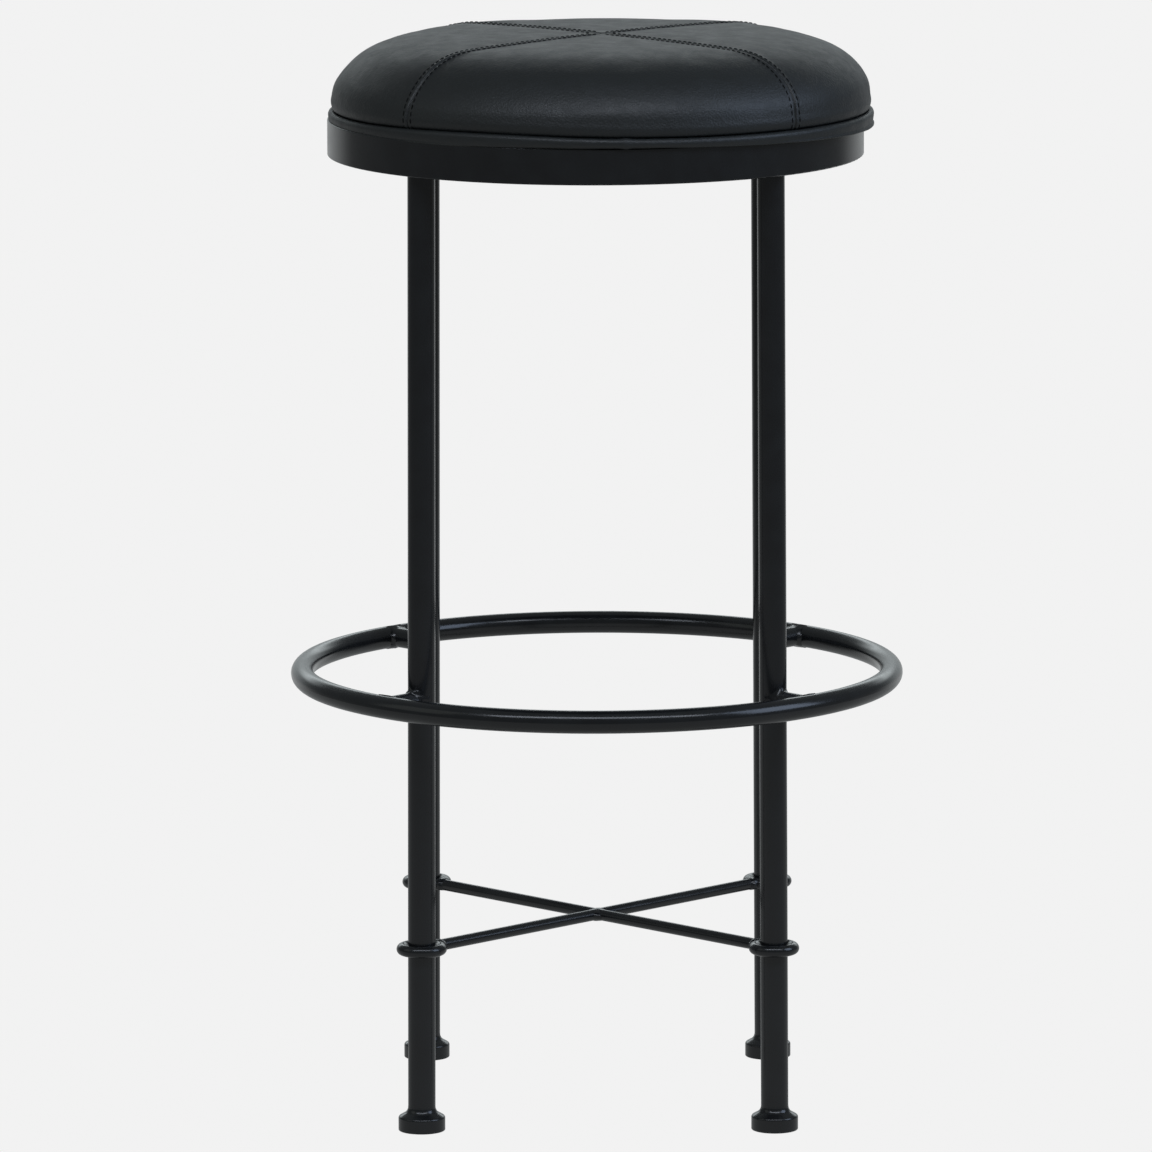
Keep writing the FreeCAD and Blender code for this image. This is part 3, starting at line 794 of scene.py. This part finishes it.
def weldBead(bm, start, end, radius, seed):
    # a straight run of bead with ripples across it
    length = (end - start).length
    along = (end - start).normalized()
    turn = along.to_track_quat("Z", "Y").to_matrix().to_4x4()
    steps = max(6, int(length / weld["ripple"] * 6))
    ring = bmesh.ops.create_circle(bm, segments=14, radius=radius, cap_ends=True)["verts"]
    rings = [ring]
    face = ring[0].link_faces[0]
    for step in range(steps):
        face = bmesh.ops.extrude_discrete_faces(bm, faces=[face])["faces"][0]
        rings.append(list(face.verts))
    for step, loop in enumerate(rings):
        t = step / steps
        ends = math.sqrt(max(0.02, 1 - abs(2 * t - 1) ** 8))
        ripple = 1 + 0.07 * math.sin(2 * math.pi * t * length / weld["ripple"])
        ripple += 0.1 * noise.noise(Vector((seed, t * 9, 0)))
        for v in loop:
            flat = Vector((v.co.x, v.co.y, 0)).normalized() * radius * ends * ripple
            v.co = Vector((flat.x, flat.y, t * length))
    made = [v for loop in rings for v in loop]
    bmesh.ops.transform(bm, matrix=Matrix.Translation(start) @ turn, verts=made)


def diagonalFrame(place, angle):
    # a weld's own +X points along the stool's diagonal
    return Matrix.Translation(place) @ Matrix.Rotation(angle, 4, "Z")


corners = ("front_left", "front_right", "back_left", "back_right")


def makeFootrestWelds():
    # both ends of each stub that holds the footrest off a leg
    s = weld
    bm = bmesh.new()
    ringLow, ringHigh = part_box("footrest_ring")
    height = (ringLow.z + ringHigh.z) / 2
    ringCentre = ringHigh.x - s["ringRadius"]
    for i, corner in enumerate(corners):
        axis = legAxis(corner, height)
        angle = math.atan2(axis.y, axis.x)
        weldFillet(bm, diagonalFrame(axis, angle), s["stubRadius"], s["legRadius"], s["toe"],
                   s["lump"], i * 3.7)
        outward = Vector((math.cos(angle), math.sin(angle), 0))
        ringSpot = Vector((0, 0, height)) + outward * ringCentre
        flipped = diagonalFrame(ringSpot, angle + math.pi) @ Matrix.Rotation(math.pi / 2, 4, "X")
        weldFillet(bm, flipped, s["stubRadius"], s["ringRadius"], s["toe"] * 1.1, s["lump"] * 0.4,
                   20 + i * 3.7)
    bmesh.ops.recalc_face_normals(bm, faces=bm.faces)
    return bm


def makeStretcherWelds():
    # where the rods meet their collars, and where they cross
    s = weld
    bm = bmesh.new()
    low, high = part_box("stretcher_rod_long")
    height = (low.z + high.z) / 2
    for i, corner in enumerate(corners):
        axis = legAxis(corner, height)
        inward = math.atan2(-axis.y, -axis.x)
        outOfLeg = s["legRadius"] + 1.75 * s["rodRadius"]
        spot = axis + Vector((math.cos(inward), math.sin(inward), 0)) * outOfLeg
        weldBlob(bm, diagonalFrame(spot, inward), s["collarBlob"], s["collarLump"], 5 + i * 2.9)
    centre = Matrix.Translation((0, 0, height - 0.2 * mm))
    weldBlob(bm, centre, s["crossBlob"], s["crossLump"], 31)
    return bm


def makeHoopWelds():
    # two upright beads at each leg, and one under each screw tab
    s = weld
    bm = bmesh.new()
    low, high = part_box("seat_hoop")
    tabLow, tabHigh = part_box("seat_tab_right")
    for i, corner in enumerate(corners):
        axis = legAxis(corner, (low.z + high.z) / 2)
        angle = math.atan2(axis.y, axis.x)
        turn = Matrix.Rotation(angle, 3, "Z")
        for side in (-1, 1):
            reach = axis.xy.length + s["hoopReach"]
            start = turn @ Vector((reach, side * s["hoopAside"], 0))
            start.z += low.z + 0.6 * mm
            end = start + Vector((0, 0, high.z - low.z - 1.6 * mm))
            weldBead(bm, start, end, s["beadRadius"], i + side * 0.3)
    for i in range(4):
        turn = Matrix.Rotation(i * math.pi / 2, 3, "Z")
        inner = tabHigh.x - 0.4 * mm
        start = turn @ Vector((inner, tabLow.y + 2 * mm, tabLow.z + 0.2 * mm))
        end = turn @ Vector((inner, tabHigh.y - 2 * mm, tabLow.z + 0.2 * mm))
        weldBead(bm, start, end, s["beadRadius"] * 0.8, 9 + i)
    bmesh.ops.holes_fill(bm, edges=[e for e in bm.edges if e.is_boundary], sides=0)
    bmesh.ops.recalc_face_normals(bm, faces=bm.faces)
    return bm


footrestWelds = finishPiece(makeFootrestWelds(), "footrest_welds", coat)
stretcherWelds = finishPiece(makeStretcherWelds(), "stretcher_welds", coat)
hoopWelds = finishPiece(makeHoopWelds(), "hoop_welds", coat)
print("welds made")


studio = {
    "paper": 0.887,             # the floor and sky as the camera sees them
    "backdrop": 2.5,            # bright wall behind the stool
    "wallSide": (0.68, 0.92),   # its limits sideways, as the Y of a direction
    "wallTop": (0.3, 0.46),     # and upwards, as the Z of a direction
    "wallFoot": (0.19, 0.36),   # below this it fades towards the horizon
    "horizon": 0.17,            # the share of it that reaches down to the horizon
    "wallTint": "#f4fdff",
    "floorTint": "#fafeff",
    "room": 0.15,
    "ceiling": 0.2,
    "floorFar": 0.17,           # how brightly the floor glows to the stool, away from it: painted light
    "floorNear": 0.22,          # what the painted pool of light round the stool adds
    "floorPool": (0.3, 3.8),    # and how far it reaches, in metres
    "floorBehind": 0.37,        # what the painted glow of the sweep behind the stool adds
    "sweepSide": (0.62, 0.86),  # its limits sideways, as the Y of a direction
    "sweepDepth": (0.5, 2.0),   # and in metres behind
}

lamps = {
    "key": {"place": (0, -2.6, 3.4), "size": (5.5, 0.7), "power": 64, "tint": "#e9f1ff"},
    "right": {"place": (3.4, -0.9, 2.3), "size": (2.2, 2.2), "power": 46, "tint": "#cfe2ff"},
    "left": {"place": (-3.4, -0.9, 2.3), "size": (2.2, 2.2), "power": 5, "tint": "#eef4ec"},
}


def makeWorld():
    # camera rays see plain paper; the stool is lit by a bright wall behind it and a dim room
    world = bpy.data.worlds.new("studio")
    bpy.context.scene.world = world
    world.use_nodes = True
    tree = world.node_tree
    tree.nodes.clear()
    way = addNode(tree, "ShaderNodeTexCoord")
    parts = addNode(tree, "ShaderNodeSeparateXYZ", {}, {0: way.outputs["Generated"]})
    behind = addNode(tree, "ShaderNodeMapRange",
                     {"interpolation_type": "SMOOTHSTEP", "From Min": studio["wallSide"][0],
                      "From Max": studio["wallSide"][1]}, {"Value": parts.outputs["Y"]})
    low = addNode(tree, "ShaderNodeMapRange",
                  {"interpolation_type": "SMOOTHSTEP", "From Min": studio["wallTop"][0],
                   "From Max": studio["wallTop"][1], "To Min": 1, "To Max": 0},
                  {"Value": parts.outputs["Z"]})
    rising = addNode(tree, "ShaderNodeMapRange",
                     {"interpolation_type": "SMOOTHSTEP", "From Min": studio["wallFoot"][0],
                      "From Max": studio["wallFoot"][1], "To Min": studio["horizon"]},
                     {"Value": parts.outputs["Z"]})
    band = addNode(tree, "ShaderNodeMath", {"operation": "MULTIPLY"},
                   {0: low.outputs[0], 1: rising.outputs[0]})
    mask = addNode(tree, "ShaderNodeMath", {"operation": "MULTIPLY"},
                   {0: behind.outputs[0], 1: band.outputs[0]})
    overhead = addNode(tree, "ShaderNodeMapRange",
                       {"interpolation_type": "SMOOTHSTEP", "From Min": 0.3, "From Max": 1,
                        "To Min": studio["room"], "To Max": studio["ceiling"]},
                       {"Value": parts.outputs["Z"]})
    strength = addNode(tree, "ShaderNodeMath", {"operation": "MULTIPLY_ADD", 1: studio["backdrop"]},
                       {0: mask.outputs[0], 2: overhead.outputs[0]})
    seen = addNode(tree, "ShaderNodeBackground",
                   {"Color": (1, 1, 1, 1), "Strength": studio["paper"]})
    lit = addNode(tree, "ShaderNodeBackground", {"Color": hexToLinear(studio["wallTint"])},
                  {"Strength": strength.outputs[0]})
    ray = addNode(tree, "ShaderNodeLightPath")
    both = addNode(tree, "ShaderNodeMixShader", {},
                   {0: ray.outputs["Is Camera Ray"], 1: lit.outputs[0], 2: seen.outputs[0]})
    addNode(tree, "ShaderNodeOutputWorld", {}, {"Surface": both.outputs[0]})


def makeFloor():
    # a wide sheet of pale paper, seen only from above; to the stool it glows with a painted pool of
    # light round itself and a painted bright sweep behind, though no lamp lights it
    bm = bmesh.new()
    bmesh.ops.create_grid(bm, x_segments=1, y_segments=1, size=40)
    mesh = bpy.data.meshes.new("floor")
    bm.to_mesh(mesh)
    bm.free()
    floor = bpy.data.objects.new("floor", mesh)
    bpy.context.scene.collection.objects.link(floor)
    material, tree = newMaterial("studio_paper")
    place = addNode(tree, "ShaderNodeTexCoord")
    reach = addNode(tree, "ShaderNodeVectorMath", {"operation": "LENGTH"},
                    {0: place.outputs["Object"]})
    near = addNode(tree, "ShaderNodeMapRange",
                   {"interpolation_type": "SMOOTHSTEP", "From Min": studio["floorPool"][0],
                    "From Max": studio["floorPool"][1],
                    "To Min": studio["floorNear"] + studio["floorFar"],
                    "To Max": studio["floorFar"]}, {"Value": reach.outputs["Value"]})
    seenFrom = addNode(tree, "ShaderNodeVectorMath", {"operation": "ADD", 1: (0, 0.3, 0)},
                       {0: place.outputs["Object"]})
    heading = addNode(tree, "ShaderNodeVectorMath", {"operation": "NORMALIZE"},
                      {0: seenFrom.outputs[0]})
    parts = addNode(tree, "ShaderNodeSeparateXYZ", {}, {0: heading.outputs[0]})
    sector = addNode(tree, "ShaderNodeMapRange",
                     {"interpolation_type": "SMOOTHSTEP", "From Min": studio["sweepSide"][0],
                      "From Max": studio["sweepSide"][1]}, {"Value": parts.outputs["Y"]})
    depth = addNode(tree, "ShaderNodeSeparateXYZ", {}, {0: place.outputs["Object"]})
    behind = addNode(tree, "ShaderNodeMapRange",
                     {"interpolation_type": "SMOOTHSTEP", "From Min": studio["sweepDepth"][0],
                      "From Max": studio["sweepDepth"][1], "To Max": studio["floorBehind"]},
                     {"Value": depth.outputs["Y"]})
    # painted light: the floor's own glow, strongest round the stool and in the sweep behind
    glowing = addNode(tree, "ShaderNodeMath", {"operation": "MULTIPLY_ADD"},
                      {0: sector.outputs[0], 1: behind.outputs[0], 2: near.outputs[0]})
    seen = addNode(tree, "ShaderNodeEmission", {"Strength": studio["paper"]})
    glow = addNode(tree, "ShaderNodeEmission", {"Color": hexToLinear(studio["floorTint"])},
                   {"Strength": glowing.outputs[0]})
    ray = addNode(tree, "ShaderNodeLightPath")
    both = addNode(tree, "ShaderNodeMixShader", {},
                   {0: ray.outputs["Is Camera Ray"], 1: glow.outputs[0], 2: seen.outputs[0]})
    clear = addNode(tree, "ShaderNodeBsdfTransparent")
    side = addNode(tree, "ShaderNodeNewGeometry")
    sheet = addNode(tree, "ShaderNodeMixShader", {},
                    {0: side.outputs["Backfacing"], 1: both.outputs[0], 2: clear.outputs[0]})
    addNode(tree, "ShaderNodeOutputMaterial", {}, {"Surface": sheet.outputs[0]})
    mesh.materials.append(material)


lampAim = Vector((0, 0, 0.6))


def makeLamp(name, settings):
    # a soft box turned to the stool, seen only by what it lights
    lamp = bpy.data.lights.new(name, "AREA")
    lamp.shape = "RECTANGLE"
    lamp.size, lamp.size_y = settings["size"]
    lamp.energy = settings["power"]
    lamp.color = hexToLinear(settings["tint"])[:3]
    holder = bpy.data.objects.new(name, lamp)
    bpy.context.scene.collection.objects.link(holder)
    holder.location = settings["place"]
    holder.rotation_euler = (lampAim - holder.location).to_track_quat("-Z", "Y").to_euler()
    holder.visible_camera = False


view = {
    "place": (-0.0145, -6.908, 1.4976),
    "pitch": math.radians(80.739),
    "roll": -0.0027,
    "lens": 311.1,
    "sensor": 36,
    "reach": 200,
}


def makeCamera():
    # a long lens well back from the stool, looking slightly down at it
    lens = bpy.data.cameras.new("camera")
    lens.lens = view["lens"]
    lens.sensor_width = view["sensor"]
    lens.clip_end = view["reach"]
    camera = bpy.data.objects.new("camera", lens)
    bpy.context.scene.collection.objects.link(camera)
    camera.matrix_world = (Matrix.Translation(view["place"])
                           @ Matrix.Rotation(view["pitch"], 4, "X")
                           @ Matrix.Rotation(view["roll"], 4, "Z"))
    bpy.context.scene.camera = camera


makeWorld()
makeFloor()
for lampName, lampSettings in lamps.items():
    makeLamp(lampName, lampSettings)
makeCamera()
bpy.context.scene.view_settings.view_transform = "Standard"
print("studio made")
